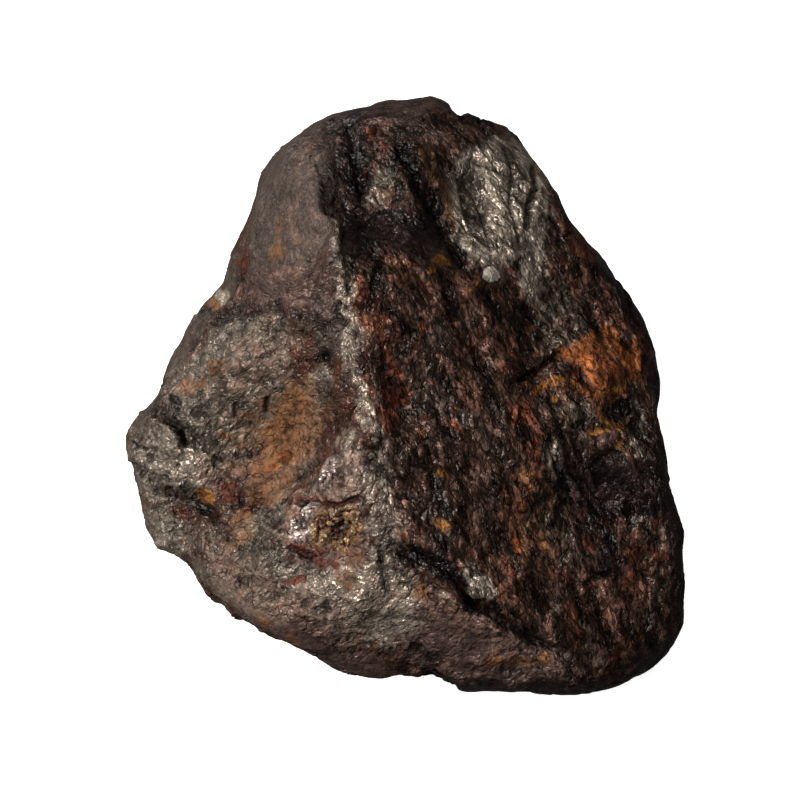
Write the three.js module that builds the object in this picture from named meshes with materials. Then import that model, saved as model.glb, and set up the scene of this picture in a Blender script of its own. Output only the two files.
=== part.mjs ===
// A weathered iron meteorite: one solid lump with a central ridge, a broad right face, a spoon-shaped
// hollow on its left and shallow thumbprint hollows all round. It rests on a flat on its underside.
// Millimetres, +Z up. The origin is on the ground, under the middle of the stone's box.
//
// The relief is written as someone facing the ridge sees it: x to the right, y up and depth towards them.
// The finished lump is then tipped back, so that this side looks up at an angle, and worn flat below.

import * as THREE from "three";
import { ImprovedNoise } from "three/addons/math/ImprovedNoise.js";
import { mergeVertices } from "three/addons/utils/BufferGeometryUtils.js";

// Driving dimensions
const LOOK_DOWN = 40; // degrees above the horizon from which the ridged side is seen square on
const BASE_BELOW_MIDDLE = 26; // from the middle of the outline down to the flat that the stone rests on
const RIM_LEAN = 0.12; // how far the rim of the outline leans back for each millimetre of height
const RIM_WANDER = 6; // how far the rim wanders to the front and to the back on its way round
const RIM_WAVES = 1.6; // how often it does so
const RIM_ROUND = 0.46; // share of the half depth over which the rim turns from one side to the other
const LEAST_DEPTH = 1.5; // the stone is never thinner than this beside its rim, on either side
const RIDGE_ROUND = 1.2; // how softly two broad faces run into each other
const BUMP_SPREAD = 16; // degrees over which bumps of the outline even out beside the rim
const LEDGE_ROUND = 1.6; // how wide the edge of a ledge is
const SURFACE_DETAIL = 19; // each of the twenty starting triangles is split into (detail + 1) squared

// The outline seen from the front, clockwise from the top.
const OUTLINE = [
  [0.5, 33.2], [4.8, 33.5], [6.6, 31.7], [9.9, 31.9], [13.5, 29.4], [16.2, 24.5], [18.7, 20.1],
  [22.8, 16], [25.6, 11.3], [28.2, 6.9], [28.8, 2.2], [28.8, -2.2], [29.7, -9], [31, -15.7],
  [31.6, -22.2], [32.1, -25.5], [29.6, -29.5], [26.5, -31.4], [20.7, -33.2], [12.1, -32.7], [5, -32.7],
  [2.3, -31.2], [-1.6, -31.4], [-6.2, -31.1], [-10.7, -28.2], [-17, -24.8], [-21.9, -22.2], [-24.2, -18.6],
  [-28.2, -16.3], [-29.3, -11.7], [-31, -6.8], [-31.2, -4.2], [-29.4, -2], [-27.5, 0.2], [-25.9, 4.4],
  [-23.5, 8.8], [-19.7, 12.5], [-19.2, 15.3], [-17.1, 19.7], [-16.8, 23.4], [-15.3, 26.9], [-12.8, 29.4],
  [-8.5, 31.9], [-4, 32.7],
];

// Broad faces of each side: a point [x, y, depth] that the face passes through, the compass heading in
// which it falls away (0 right, 90 up) and how steeply, both in degrees.
const FRONT_FACES = [
  { name: "right face", through: [-3, -4, 22.5], falls: 7, slope: 30 },
  { name: "upper right face", through: [9, 20, 13], falls: 54, slope: 38 },
  { name: "left flank", through: [-5, 3, 22.5], falls: 193, slope: 36 },
  { name: "left shoulder", through: [-8, 20, 20.5], falls: 162, slope: 53 },
  { name: "lower left flank", through: [-2, -15, 22.5], falls: 222, slope: 38 },
  { name: "top face", through: [0, 26, 14.5], falls: 92, slope: 50 },
  { name: "toe", through: [5, -21.5, 18.6], falls: 266, slope: 49 },
  { name: "lower right corner", through: [24, -24, 9.5], falls: 318, slope: 42 },
];
const BACK_FACES = [
  { name: "broad back", through: [0, -8, 30], falls: 84, slope: 20 },
  { name: "back left", through: [-15, 0, 21], falls: 172, slope: 43 },
  { name: "back right", through: [15, 2, 21], falls: 8, slope: 40 },
  { name: "back top", through: [0, 22, 17], falls: 96, slope: 50 },
  { name: "heel", through: [0, -26, 20], falls: 270, slope: 58 },
];

// Hollows have a depth and lumps a height, over an oval of the given half sizes that may be turned.
// Ledges are half ovals that drop off along the long axis and climb back to the right of it.
const FRONT_HOLLOWS = [
  { name: "spoon hollow", at: [-12.8, -4.5], size: [14.5, 8.6], turn: 67, depth: 4.4 },
  { name: "shadowed hollow", at: [-3, 21], size: [6, 8.5], turn: 18, depth: 4 },
  { name: "bright hollow", at: [6, 20.5], size: [6.5, 8], turn: -15, depth: 3.2 },
  { name: "shoulder saddle", at: [-20.5, 11], size: [7.5, 4.5], turn: 22, depth: 2.2 },
  { name: "crystal pit", at: [-8.6, -14.8], size: [5, 4.4], turn: 20, depth: 2 },
  { name: "ridge side pocket", at: [-0.4, 1], size: [7, 3.4], turn: 101, depth: 1.6 },
  { name: "plate recess", at: [22, -11], size: [8, 5], turn: 115, depth: 1.2 },
  { name: "toe notch", at: [1.5, -30], size: [3, 4], turn: 0, depth: 1.6 },
];
const FRONT_LUMPS = [
  { name: "knob between hollows", at: [1.8, 24.5], size: [3.6, 7], turn: 18, height: 0.8 },
  { name: "lower left bulge", at: [-6.5, -22.5], size: [8, 5.5], turn: 20, height: 1.8 },
  { name: "left lobe", at: [-25.5, -6], size: [7, 8], turn: 10, height: 2.6 },
  { name: "rust crust", at: [21.5, 4], size: [7, 6], turn: 0, height: 1.2 },
  { name: "shoulder swell", at: [-13, 17], size: [7, 9], turn: 20, height: 1 },
  { name: "right face swell", at: [9, -6], size: [10, 14], turn: 15, height: 0.8 },
];
const FRONT_LEDGES = [
  { name: "under the left lobe", at: [-22.5, -11.8], size: [5.5, 5], turn: -19, depth: 1.6 },
  { name: "under the rust crust", at: [21.5, -2.5], size: [6, 6], turn: -8, depth: 1.6 },
  { name: "split below the ridge", at: [4.2, -19.6], size: [5.5, 4], turn: -38, depth: 1.8 },
];
const BACK_HOLLOWS = [
  { name: "large thumbprint", at: [-9, 8], size: [10, 8], turn: 30, depth: 3.4 },
  { name: "upper thumbprint", at: [7, 18], size: [8, 6.5], turn: -20, depth: 2.6 },
  { name: "right thumbprint", at: [17, 0], size: [8, 9], turn: 10, depth: 2.8 },
  { name: "middle thumbprint", at: [4, 0], size: [6, 5.5], turn: 0, depth: 1.6 },
  { name: "left thumbprint", at: [-21, -6], size: [6.5, 7.5], turn: 15, depth: 2 },
];
const BACK_LUMPS = [
  { name: "back knuckle", at: [-2, 12], size: [5, 9], turn: 65, height: 1.2 },
  { name: "back shoulder", at: [14, 12], size: [7, 5], turn: -40, height: 1.2 },
];
const BACK_LEDGES = [
  { name: "back step", at: [-4, 16], size: [9, 6], turn: -25, depth: 1.6 },
];

// Unevenness at three scales: how wide its waves are and how far they stand out.
const UNEVENNESS = [
  { wave: 9, height: 0.7 },
  { wave: 4.2, height: 0.4 },
  { wave: 2.7, height: 0.25 },
];

const FRONT = { faces: FRONT_FACES, hollows: FRONT_HOLLOWS, lumps: FRONT_LUMPS, ledges: FRONT_LEDGES };
const BACK = { faces: BACK_FACES, hollows: BACK_HOLLOWS, lumps: BACK_LUMPS, ledges: BACK_LEDGES };

const radians = THREE.MathUtils.degToRad;
const noise = new ImprovedNoise();

// Distance from the middle to the outline, by heading.
function outlineRadius() {
  const samples = 720;
  const corners = OUTLINE.map(([x, y]) => new THREE.Vector3(x, y, 0));
  const curve = new THREE.CatmullRomCurve3(corners, true, "centripetal");
  const ring = curve
    .getSpacedPoints(samples)
    .map((p) => ({ heading: Math.atan2(p.y, p.x), radius: Math.hypot(p.x, p.y) }))
    .sort((a, b) => a.heading - b.heading);
  return (heading) => {
    const after = ring.findIndex((p) => p.heading > heading);
    const next = ring[Math.max(after, 0)];
    const last = ring[after > 0 ? after - 1 : ring.length - 1];
    const span = THREE.MathUtils.euclideanModulo(next.heading - last.heading, 2 * Math.PI);
    const gone = THREE.MathUtils.euclideanModulo(heading - last.heading, 2 * Math.PI);
    return THREE.MathUtils.lerp(last.radius, next.radius, span > 0 ? gone / span : 0);
  };
}

// The same distance with the small bumps of the outline evened out.
function evenRadius(radiusAt) {
  const steps = 8;
  return (heading) => {
    let sum = 0;
    for (let i = 0; i <= steps; i++) {
      const turned = heading + radians(BUMP_SPREAD) * ((2 * i) / steps - 1);
      sum += radiusAt(Math.atan2(Math.sin(turned), Math.cos(turned)));
    }
    return sum / (steps + 1);
  };
}

function faceDepth(face, x, y) {
  const [px, py, depth] = face.through;
  const run = (x - px) * Math.cos(radians(face.falls)) + (y - py) * Math.sin(radians(face.falls));
  return depth - run * Math.tan(radians(face.slope));
}

// The least of several depths, with the corners between them rounded.
function softLeast(depths) {
  const sum = depths.reduce((total, d) => total + Math.exp(-d / RIDGE_ROUND), 0);
  return -RIDGE_ROUND * Math.log(sum);
}

// Where a place is along and across a spot's oval.
function withinSpot(spot, x, y) {
  const turn = radians(spot.turn);
  const dx = x - spot.at[0];
  const dy = y - spot.at[1];
  const along = dx * Math.cos(turn) + dy * Math.sin(turn);
  const across = dy * Math.cos(turn) - dx * Math.sin(turn);
  return { along, across };
}

// 1 in the middle of a spot, falling smoothly to 0 at the edge of its oval.
function spotWeight(spot, x, y) {
  const { along, across } = withinSpot(spot, x, y);
  return Math.max(0, 1 - (along / spot.size[0]) ** 2 - (across / spot.size[1]) ** 2) ** 2;
}

function ledgeWeight(ledge, x, y) {
  const { across } = withinSpot(ledge, x, y);
  return spotWeight(ledge, x, y) * THREE.MathUtils.smoothstep(-across, 0, LEDGE_ROUND);
}

// How far one side of the stone stands out from the rim at a place on it.
function sideDepth({ faces, hollows, lumps, ledges }, x, y) {
  let depth = softLeast(faces.map((face) => faceDepth(face, x, y)));
  for (const hollow of hollows) depth -= hollow.depth * spotWeight(hollow, x, y);
  for (const lump of lumps) depth += lump.height * spotWeight(lump, x, y);
  for (const ledge of ledges) depth -= ledge.depth * ledgeWeight(ledge, x, y);
  return -softLeast([-depth, -LEAST_DEPTH]);
}

// How far back the rim between the two sides is.
function rimDepth(x, y) {
  const heading = Math.atan2(y, x);
  const wander = noise.noise(RIM_WAVES * Math.cos(heading), RIM_WAVES * Math.sin(heading), 0.5);
  return -RIM_LEAN * y + RIM_WANDER * wander;
}

// A quarter round from 0 at the rim to 1 where the side is fully out.
function rimRound(share) {
  const left = 1 - Math.min(share / RIM_ROUND, 1);
  return Math.sqrt(1 - left * left);
}

function unevenness(p) {
  return UNEVENNESS.reduce(
    (sum, { wave, height }) => sum + height * noise.noise(p.x / wave, p.y / wave, p.z / wave),
    0,
  );
}

// The lump facing the viewer: a sphere whose equator is pulled to the outline and whose two halves are
// pulled out to the front and the back of the stone.
function facingLump() {
  const geometry = new THREE.IcosahedronGeometry(1, SURFACE_DETAIL);
  geometry.deleteAttribute("normal");
  geometry.deleteAttribute("uv");
  const lump = mergeVertices(geometry);
  const rimRadius = outlineRadius();
  const innerRadius = evenRadius(rimRadius);
  const points = lump.getAttribute("position");
  const p = new THREE.Vector3();
  for (let i = 0; i < points.count; i++) {
    const direction = new THREE.Vector3().fromBufferAttribute(points, i).normalize();
    const reach = Math.hypot(direction.x, direction.y);
    const heading = Math.atan2(direction.y, direction.x);
    const inward = Math.min(Math.abs(direction.z) / RIM_ROUND, 1);
    const radius = THREE.MathUtils.lerp(rimRadius(heading), innerRadius(heading), inward);
    const x = reach * radius * Math.cos(heading);
    const y = reach * radius * Math.sin(heading);
    const out = direction.z >= 0 ? sideDepth(FRONT, x, y) : -sideDepth(BACK, x, y);
    p.set(x, y, out * rimRound(Math.abs(direction.z)) + reach * rimDepth(x, y));
    p.addScaledVector(direction, unevenness(p));
    points.setXYZ(i, p.x, p.y, p.z);
  }
  return lump;
}

// Tips the lump back onto its base and wears everything below the base level flat.
function restOnBase(lump) {
  lump.rotateX(radians(90 - LOOK_DOWN));
  const points = lump.getAttribute("position");
  for (let i = 0; i < points.count; i++) points.setZ(i, Math.max(points.getZ(i), -BASE_BELOW_MIDDLE));
  lump.computeBoundingBox();
  const middle = lump.boundingBox.getCenter(new THREE.Vector3());
  return lump.translate(-middle.x, -middle.y, BASE_BELOW_MIDDLE);
}

const iron = new THREE.MeshStandardMaterial({ color: 0x3a2a22, roughness: 0.5, metalness: 0.55 });

const stone = new THREE.Group();
const meteorite = new THREE.Mesh(restOnBase(facingLump()), iron);
meteorite.name = "meteorite";
stone.add(meteorite);

export default stone;
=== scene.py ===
"""Weathered iron meteorite: its skin, with coats of rust and bare metal, and a plain studio stage."""

import math
from collections import namedtuple

import bmesh
import bpy
import numpy as np
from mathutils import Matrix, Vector, noise


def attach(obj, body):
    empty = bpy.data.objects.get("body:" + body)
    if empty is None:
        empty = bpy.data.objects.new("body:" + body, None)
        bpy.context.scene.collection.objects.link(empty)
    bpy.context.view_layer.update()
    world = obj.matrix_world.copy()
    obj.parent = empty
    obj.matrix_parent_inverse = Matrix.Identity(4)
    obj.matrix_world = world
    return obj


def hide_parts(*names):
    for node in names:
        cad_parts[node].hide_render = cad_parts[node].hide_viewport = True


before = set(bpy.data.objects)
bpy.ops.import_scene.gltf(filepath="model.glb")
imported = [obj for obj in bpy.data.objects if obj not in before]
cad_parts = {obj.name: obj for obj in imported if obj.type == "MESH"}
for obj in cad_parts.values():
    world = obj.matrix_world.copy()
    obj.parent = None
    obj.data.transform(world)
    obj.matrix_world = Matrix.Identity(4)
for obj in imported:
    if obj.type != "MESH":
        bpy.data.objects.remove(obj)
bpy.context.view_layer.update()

bl_info = {
    "name": "Iron Meteorite",
    "version": (1, 0, 0),
    "blender": (4, 5, 0),
    "location": "3D View > Sidebar > Meteorite",
    "description": "Builds the skin of a weathered iron meteorite and a plain studio stage",
    "category": "Object",
}

NODE = "meteorite"
SKIN = "meteorite_skin"
BODY = "root"
SLOT = "weathered_iron"
MM = 0.001

# The picture that the stone is painted from: its width in pixels, its camera's sensor, and where that looks
PICTURE = 800
SENSOR_MM = 36.0
AIM = Vector((-0.56, -0.77, 26.4)) * MM

# The skin's mesh: how close its points are joined, and how often all of it is split
WELD = 0.0005 * MM
SKIN_LEVELS = 1
# Where it is split again: how steep a carved form is there, or how much of the crystal pit's coats it has
STEEP = 0.05 * MM
PIT_SHARE = 0.5
MOST_TRIANGLES = 199000

# The middle of a noise or of a chance number, which goes from 0 to 1
MIDDLE = 0.5
# Which chance pattern is used, and what sets one apart from another: a shift for each seed, and the seeds
NOISE_SEED = 68
SEED_SHIFT = Vector((1.0, 2.0, 3.0))
WANDER_SEED = 11.0
CHANCE_SEED = 40.0
CHANCE_SEED_STEP = 7.0

# How ragged the coats' edges are: two sizes of wander, each in mm on the stone, with its reach in pixels
WANDERS = ((4.0, 9.0), (1.3, 4.0))
# A vertex is painted where it faces the camera, and has chance patches where it faces away: their size, and
# for each coat the chance number that starts to show it, and the one that shows all of it
FACING_FROM = -0.30
FACING_FULL = -0.05
CHANCE_PATCH_MM = 13.0
CHANCE_PATCHES = {
    "veil": (0.15, 0.6), "purple": (0.1, 0.5), "olive": (0.15, 0.5), "metal": (0.25, 0.6),
    "pink": (0.2, 0.6), "rust": (0.2, 0.6), "crust": (0.35, 0.7), "red": (0.3, 0.65),
    "ochre": (0.42, 0.75), "black": (0.2, 0.6),
}
# How much of the coats' wander the carving shares
CARVING_WANDER = 0.35

# Which way the flakes lie: steep on the right of the ridge, slanting up on its left, and how many pixels to
# each side of the ridge one turns into the other
RIGHT_GRAIN = Vector((0.34, -0.50, -0.80)).normalized()
LEFT_GRAIN = Vector((0.65, -0.07, 0.76)).normalized()
GRAIN_TURN = 25.0


# Shapes on the picture, in pixels from its upper left corner

# Where a patch starts to fade and where it ends, if 1 is its edge, and how fast a lump falls away
OVAL_FADE = (0.6, 1.3)
STROKE_FADE = (0.5, 1.3)
BUMP_FALL = 1.4


def smooth_step(low, high, value):
    """0 below low and 1 above high, with an eased slope between them."""
    share = np.clip((value - low) / (high - low), 0.0, 1.0)
    return share * share * (3.0 - 2.0 * share)


def line_distance(points, px, py):
    """How far each place is from a line of points, and its side: above 0 on the left as it is walked."""
    nearest = np.full(px.shape, np.inf)
    side = np.zeros(px.shape)
    for (ax, ay), (bx, by) in zip(points, points[1:]):
        run_x, run_y = bx - ax, by - ay
        share = ((px - ax) * run_x + (py - ay) * run_y) / (run_x * run_x + run_y * run_y)
        share = np.clip(share, 0.0, 1.0)
        gap = np.hypot(px - ax - share * run_x, py - ay - share * run_y)
        closer = gap < nearest
        nearest = np.where(closer, gap, nearest)
        side = np.where(closer, np.sign(run_y * (px - ax) - run_x * (py - ay)), side)
    return nearest, side


def oval_distance(x, y, long, wide, turn, px, py):
    """How far each place is from an oval's middle: 1 on its edge. It turns against the clock, in degrees."""
    along_x = math.cos(math.radians(turn))
    along_y = -math.sin(math.radians(turn))
    along = (px - x) * along_x + (py - y) * along_y
    across = (px - x) * along_y - (py - y) * along_x
    return np.hypot(along / long, across / wide)


def oval(x, y, long, wide, turn=0.0, amount=1.0):
    """A patch round a point, with half its length and half its width."""

    def cover(px, py):
        return amount * (1.0 - smooth_step(*OVAL_FADE, oval_distance(x, y, long, wide, turn, px, py)))

    return cover


def stroke(points, wide, amount=1.0):
    """A patch along a line, with half its width."""
    return lambda px, py: amount * (1.0 - smooth_step(*STROKE_FADE, line_distance(points, px, py)[0] / wide))


def bump(x, y, long, wide, turn, high):
    """A rounded lump, or a pit where high is below 0, in mm."""
    return lambda px, py: high * np.exp(-BUMP_FALL * oval_distance(x, y, long, wide, turn, px, py) ** 2)


def groove(points, wide, deep):
    """A crack along a line: half its width in pixels, and its depth in mm."""
    return lambda px, py: -deep * np.exp(-((line_distance(points, px, py)[0] / wide) ** 2))


def ledge(points, high, wide, reach):
    """A step up to the left of a line, in mm, which eases down again over its reach in pixels."""

    def height(px, py):
        gap, side = line_distance(points, px, py)
        return high * (smooth_step(-wide, wide, gap * side) - MIDDLE) * np.exp(-((gap / reach) ** 2))

    return height


# The coats that the picture shows on the stone, from the lowest up, each patch with its place

COATS = {
    # A grey-brown coat, partly the worn shoulder's own grey, partly a painted sheen: the grey reflection on
    # the shoulder and its top rim
    "veil": {
        "shoulder": oval(292, 212, 98, 46, 80),
        "shoulder foot": oval(330, 315, 60, 20, 95, 0.8),
        # Painted sheen: grey reflection along the top rim
        "top rim": stroke(((270, 170), (320, 118), (400, 104)), 14, 0.7),
        "left edge": stroke(((232, 262), (205, 312), (170, 365), (140, 415)), 13, 0.85),
    },
    "purple": {
        "shoulder hem": oval(288, 287, 56, 22, 5),
        "bottom face": oval(450, 640, 115, 34, -20),
        "bottom right": oval(525, 655, 66, 22, -22),
        "lower left edge": oval(305, 638, 92, 19, -28),
        "top": oval(395, 110, 60, 14, 8, 0.8),
    },
    "olive": {
        "left flank": oval(225, 400, 95, 58, 60),
        "hollow wall": stroke(((318, 380), (293, 470), (240, 560)), 15),
        "lower left": oval(252, 575, 70, 40, -35, 0.75),
        "left lobe": oval(170, 462, 50, 46, 0),
        "lobe foot": oval(166, 530, 34, 24, -45, 0.85),
        "hollow bump": oval(380, 188, 24, 13, 35, 0.75),
        "hollow band": stroke(((430, 145), (440, 190), (450, 232)), 10, 0.5),
        "grey plates": oval(550, 300, 24, 18, -40, 0.5),
        "crust plate": oval(577, 415, 24, 18, -10, 0.6),
        "slanted flakes": stroke(((552, 442), (558, 465), (572, 488)), 7, 1.0),
        "beige strip": stroke(((633, 405), (641, 421), (641, 434), (638, 456)), 5, 0.9),
    },
    "metal": {
        "foil": oval(497, 202, 64, 50, 75, 1.6),
        "foil foot": stroke(((533, 240), (535, 283)), 12),
        "ridge": stroke(((338, 225), (345, 285), (355, 370), (378, 440), (388, 500), (398, 555)), 9, 0.56),
        "bulge": oval(360, 600, 66, 44, -15, 0.95),
        "pit rim": oval(325, 535, 62, 58, 0, 0.5),
        "ridge wall": stroke(((350, 440), (368, 500), (380, 560)), 16, 0.5),
        "lower ridge": stroke(((400, 565), (450, 598), (490, 622), (545, 655)), 9, 0.35),
        "lobe plates": oval(178, 462, 48, 34, 10, 0.6),
        "lamellae": oval(478, 582, 20, 12, -50, 0.8),
        "seam glint": oval(220, 293, 6, 8, 0),
        "hollow glint": stroke(((383, 206), (395, 217), (407, 227)), 5, 0.8),
        "lobe nodule": oval(160, 543, 6, 5, 0, 0.8),
    },
    "pink": {
        "pit side": oval(353, 554, 14, 16, 0, 1.0),
        "pit surround": oval(322, 532, 48, 42, 10, 0.55),
        "bulge": oval(372, 590, 40, 26, -20, 0.4),
        "bulge foot": oval(330, 618, 52, 22, -25, 0.6),
        "lower left": oval(258, 588, 58, 24, -35, 0.5),
        "ridge wall": oval(350, 470, 40, 12, 75, 0.4),
        "lower ridge": stroke(((430, 602), (480, 632), (530, 660)), 14, 0.5),
        "flank": oval(245, 375, 58, 36, 45, 0.45),
        "lobe tint": oval(225, 470, 40, 24, 20, 0.5),
        "shoulder tint": oval(300, 240, 56, 24, 75, 0.36),
        "shoulder top": oval(305, 160, 28, 18, 60, 0.34),
        "shoulder hem": oval(300, 300, 50, 14, 5, 0.3),
    },
    "rust": {
        "floor top": oval(300, 388, 22, 16, 0, 0.5),
        "floor": oval(292, 428, 52, 30, 70, 0.9),
        "floor middle": oval(272, 478, 34, 24, 60, 0.75),
        "floor left": oval(258, 432, 50, 24, 65, 0.4),
        "floor foot": oval(240, 530, 26, 16, 60, 0.55),
        "flank spot": oval(217, 370, 13, 10, 30, 0.7),
        "flank edge spots": oval(190, 386, 14, 9, 0, 0.7),
        "flank red spots": oval(223, 436, 12, 7, 0, 0.6),
        "shoulder spot": oval(277, 254, 10, 9, 0, 0.7),
        "shoulder streak": oval(277, 240, 26, 8, 85, 0.55),
        "hollow band": stroke(((430, 150), (440, 195), (449, 236)), 9, 0.7),
        "hollow foot": oval(402, 274, 20, 12, 10, 0.5),
        "pit side": oval(354, 554, 13, 15, 0, 0.6),
        "pit foot": oval(347, 577, 10, 10, 20, 0.9),
        "left seam": oval(216, 305, 9, 6, 0),
        "edge spot 1": oval(195, 573, 9, 7, -30, 0.8),
        "edge spot 2": oval(264, 619, 11, 6, -30, 0.8),
        "edge spot 3": oval(291, 640, 11, 6, -30, 0.8),
        "ridge foot": oval(419, 594, 10, 8, 0, 0.9),
        "bottom spots": stroke(((495, 658), (518, 664), (545, 660)), 7, 0.8),
        "lower right": oval(640, 590, 55, 36, -60, 0.22),
        "right band": oval(532, 515, 55, 28, -70, 0.42),
    },
    "crust": {
        "crust top": oval(598, 338, 17, 13, 0, 1.1),
        "crust": oval(611, 364, 36, 30, -20, 1.25),
        "crust arm": oval(574, 357, 18, 10, -20, 1.1),
        "crust foot": oval(610, 390, 18, 14, 0, 1.1),
        "floor core": oval(281, 466, 20, 9, 55, 0.5),
        "spot 1": oval(418, 331, 13, 5, 75, 0.8),
        "spot 2": oval(527, 327, 10, 6, 10, 0.8),
        "spot 3": oval(519, 546, 5, 12, 0, 0.85),
        "right rim": oval(577, 246, 12, 6, -40, 0.8),
        "bottom": oval(497, 661, 10, 6, -10, 0.6),
        "crust shelf": stroke(((530, 386), (553, 382), (584, 391)), 6, 0.65),
    },
    "red": {
        "crust shade": oval(606, 370, 26, 16, -30, 0.55),
        "recess": oval(391, 395, 40, 10, 84, 0.9),
        "right rim": oval(578, 243, 14, 8, -40),
        "spot 3": oval(607, 524, 16, 8, -15),
        "spot 4": oval(663, 522, 16, 8, -20),
        "spot 5": oval(680, 615, 9, 9, 0),
        "lower right": oval(640, 585, 56, 40, -60, 0.36),
        "pit ring": oval(325, 533, 44, 36, 10, 0.5),
        "lobe red": oval(231, 494, 11, 9, 0),
        "pit streak": stroke(((320, 562), (335, 566)), 4),
        "pit top": stroke(((302, 503), (320, 505), (340, 506), (354, 500)), 4, 0.9),
        "pit bottom": stroke(((288, 545), (300, 552), (314, 553)), 5, 0.9),
        "low streak": stroke(((284, 581), (305, 583)), 4, 0.9),
        "shoulder specks": oval(242, 266, 11, 6, 70, 0.8),
    },
    "ochre": {
        "crust edge": stroke(((530, 386), (552, 381), (580, 388)), 3, 0.8),
        "crust core": oval(616, 394, 9, 6, 20, 0.9),
        "crust corner": oval(603, 345, 10, 6, 30, 0.6),
        "plate edge": stroke(((598, 408), (601, 423), (620, 427), (629, 422)), 3, 1.1),
        "plate foot": stroke(((587, 430), (604, 432)), 3, 1.0),
        "plate spot": oval(556, 397, 8, 4, 20, 0.9),
        "lobe gold": oval(199, 494, 15, 8, -15, 0.8),
        "pit amber": oval(356, 528, 7, 9, 0, 0.8),
        "spot 1": oval(440, 264, 10, 6, 10, 0.9),
        "spot 2": oval(477, 285, 7, 5, 0, 0.9),
        "spot 4": oval(440, 476, 8, 5, -30, 0.9),
        "spot 5": oval(443, 525, 5, 9, 40, 0.9),
        "spot 6": oval(615, 448, 7, 6, 0, 0.9),
        "spot 7": oval(448, 226, 6, 6, 0, 0.8),
    },
    "bronze": {
        "pit": oval(336, 528, 26, 22, 10),
    },
    "silver": {
        "pit lump": oval(309, 514, 9, 11, 10),
        "pit left": oval(300, 530, 16, 14, 40, 0.7),
        "wall glints": oval(332, 470, 22, 8, 60, 0.8),
        "pit glint": oval(335, 512, 10, 5, 10, 0.5),
    },
    # Glossy black crust, and also painted shade: in the hollow and on its wall, in grooves, seams, gaps and
    # the recess, and along the right and under rims
    "black": {
        "hollow": oval(390, 232, 52, 28, -15),
        "hollow streaks": stroke(((355, 115), (350, 150), (358, 185)), 14),
        "hollow band": stroke(((405, 155), (425, 195), (460, 257)), 10),
        "plate 1": oval(581, 464, 9, 24, 20, 1.3),
        "plate 2": oval(607, 474, 27, 25, 0, 1.6),
        "plate 3": oval(643, 490, 26, 32, 20, 1.4),
        "plate 4": oval(600, 510, 36, 15, -10, 1.1),
        "recess": oval(613, 413, 10, 9, 0),
        "lower plates": oval(612, 560, 18, 24, 0, 0.9),
        # Painted shade along the right rims, which turn away from the light
        "right rim": stroke(((600, 262), (658, 350), (668, 450)), 10, 1.1),
        "lower right rim": stroke(((666, 440), (684, 560), (686, 620)), 14, 1.25),
        "top": stroke(((330, 126), (370, 112), (420, 103), (470, 108)), 10, 0.6),
        "plates": oval(600, 492, 54, 40, -20, 0.7),
        "lower right": oval(648, 605, 44, 58, 20, 0.42),
        # Painted shade under the lower rim, where the stone turns under
        "under rim": stroke(((430, 684), (520, 692), (605, 690), (668, 650)), 10),
        "flank pit": oval(323, 359, 7, 4, 20),
        # Painted shade on the hollow's wall, which faces away from the light
        "hollow wall": stroke(((322, 385), (303, 460), (262, 545)), 8, 0.45),
        "lower groove": stroke(((400, 550), (450, 572), (475, 605)), 9),
        "lobe shadow": stroke(((166, 420), (173, 424), (180, 432), (184, 446)), 3, 0.9),
        "ledge shadow": stroke(((170, 494), (182, 502), (203, 511)), 3, 0.9),
        "seam": stroke(((206, 312), (270, 308), (342, 322)), 8, 0.6),
        "pit gap": oval(340, 528, 6, 4, -20, 0.8),
    },
    # The pale nodule and the pit's lump: partly their own pale metal, partly a painted highlight where they
    # face away from the light
    "bright": {
        "nodule": oval(489, 276, 9, 7, 25, 1.4),
        "pit lump": oval(310, 513, 5, 7, 10, 0.7),
    },
}

# Where the skin is worn smooth, and the line of the ridge that parts the two grains

SMOOTH = {
    "shoulder": oval(290, 205, 105, 52, 80, 0.55),
    "hollow floor": stroke(((352, 236), (385, 228), (418, 243), (448, 256)), 16, 0.6),
    "left rim": stroke(((240, 245), (256, 190), (285, 140), (330, 112), (400, 100), (445, 100)), 16, 0.9),
    "right rim": stroke(
        ((500, 122), (545, 180), (605, 262), (652, 345), (664, 450), (683, 545), (687, 615)), 10, 0.7),
    "bottom rim": stroke(
        ((687, 615), (662, 655), (600, 692), (440, 690), (340, 660), (250, 612), (190, 562)), 10, 0.7),
    "left edge": stroke(((240, 245), (222, 285), (200, 312), (165, 365), (132, 425)), 12, 0.7),
    "lobe edge": stroke(((124, 440), (128, 475), (140, 510), (150, 545), (175, 565)), 10, 0.6),
    "plates": oval(608, 474, 26, 26, 0, 0.6),
    "nodule": oval(489, 276, 12, 10, 0, 0.6),
    "bottom face": oval(450, 645, 110, 30, -20, 0.25),
}
RIDGE = (
    (330, 90), (335, 220), (345, 300), (355, 370), (378, 440),
    (388, 500), (400, 560), (490, 620), (560, 700),
)

# Broad lumps and hollows

FORMS = {
    "hollow bump": bump(382, 186, 24, 13, 35, 0.5),
    "hollow knob": bump(418, 152, 14, 12, 0, 0.5),
    "crust": bump(608, 364, 36, 30, -20, 0.5),
    "lobe lump": bump(164, 500, 7, 6, 0, 0.4),
    "lobe nodule": bump(160, 543, 7, 6, 0, 0.5),
    "crystal pit": bump(328, 536, 38, 32, 20, -0.6),
    "silver lump": bump(310, 514, 6, 8, 10, 0.7),
    "nodule": bump(488, 276, 9, 7, 25, 0.5),
}

# Cracks, ledges and small holes, with painted shade where they are deep

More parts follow.
